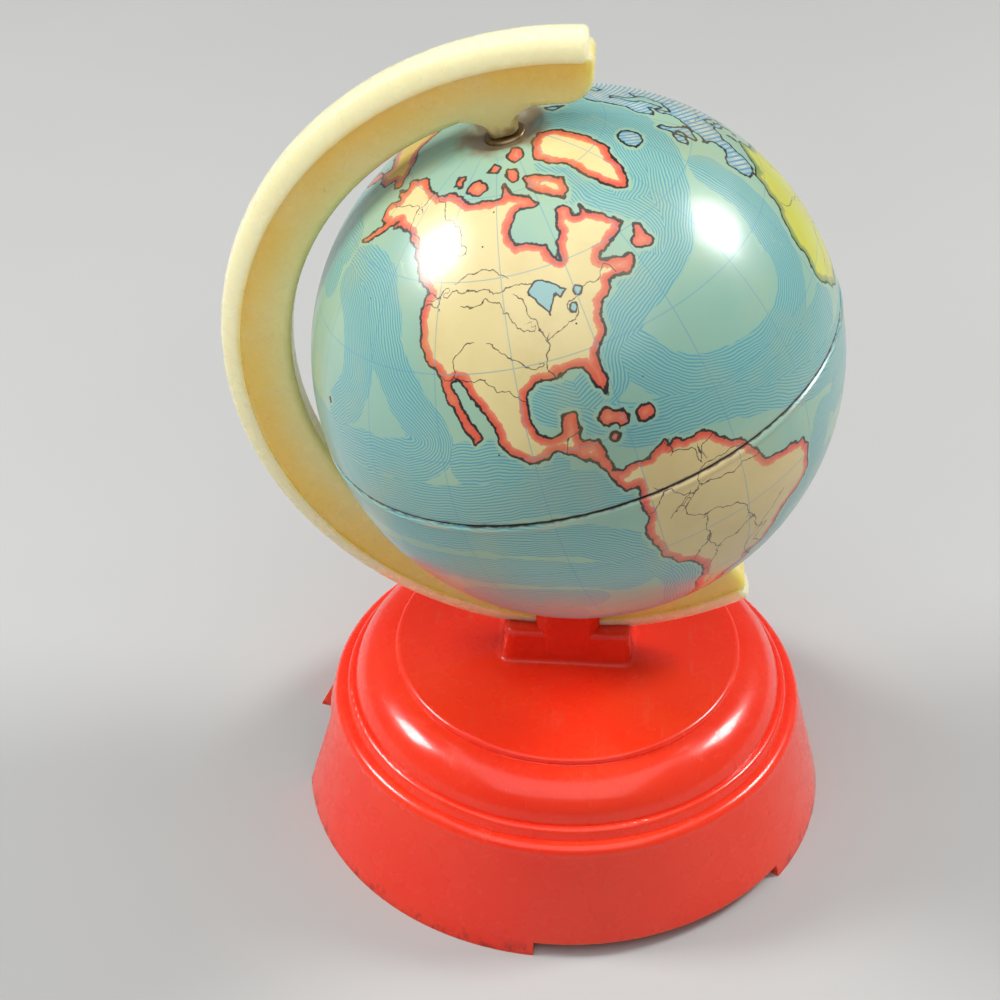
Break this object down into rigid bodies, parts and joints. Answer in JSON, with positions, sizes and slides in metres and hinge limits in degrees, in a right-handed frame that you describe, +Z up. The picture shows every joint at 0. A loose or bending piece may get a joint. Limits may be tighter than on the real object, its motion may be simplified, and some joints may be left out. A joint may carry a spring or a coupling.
{
  "type": "desk globe pencil sharpener",
  "caption": "Tin desk globe that spins on a tilted axis in a C-shaped arm, on a round hollow base with a pencil sharpener inside and a lid underneath.",
  "frame": {"origin": "middle of the base, on the surface it stands on", "axes": "+Z up; the arm lies in the XZ plane with its back towards -X, where the sharpener's port is; the front of the base faces -Y"},
  "size_m": [0.079, 0.0705, 0.1142],
  "materials": {
    "red_plastic": "glossy moulded, orange-red",
    "lid_plastic": "satin moulded, red",
    "ivory_plastic": "satin moulded, ivory gone golden",
    "printed_tin": "lithographed map under clear varnish",
    "eyelet_metal": "tarnished",
    "sharpener_alloy": "machined",
    "blade_steel": "ground",
    "screw_steel": "plain"
  },
  "bodies": {
    "base": {"base_shell": "red_plastic", "bottom_lid": "lid_plastic", "sharpener_body": "sharpener_alloy", "sharpener_blade": "blade_steel", "blade_screw": "screw_steel", "meridian_arm": "ivory_plastic"},
    "globe": {"globe_north_shell": "printed_tin", "globe_south_shell": "printed_tin", "north_eyelet": "eyelet_metal", "south_eyelet": "eyelet_metal"}
  },
  "joints": [
    {"name": "globe_spin", "type": "hinge", "parent": "base", "child": "globe", "pos_m": [0, 0, 0.0705], "axis": [-0.2924, 0, 0.9563], "continuous": true}
  ]
}
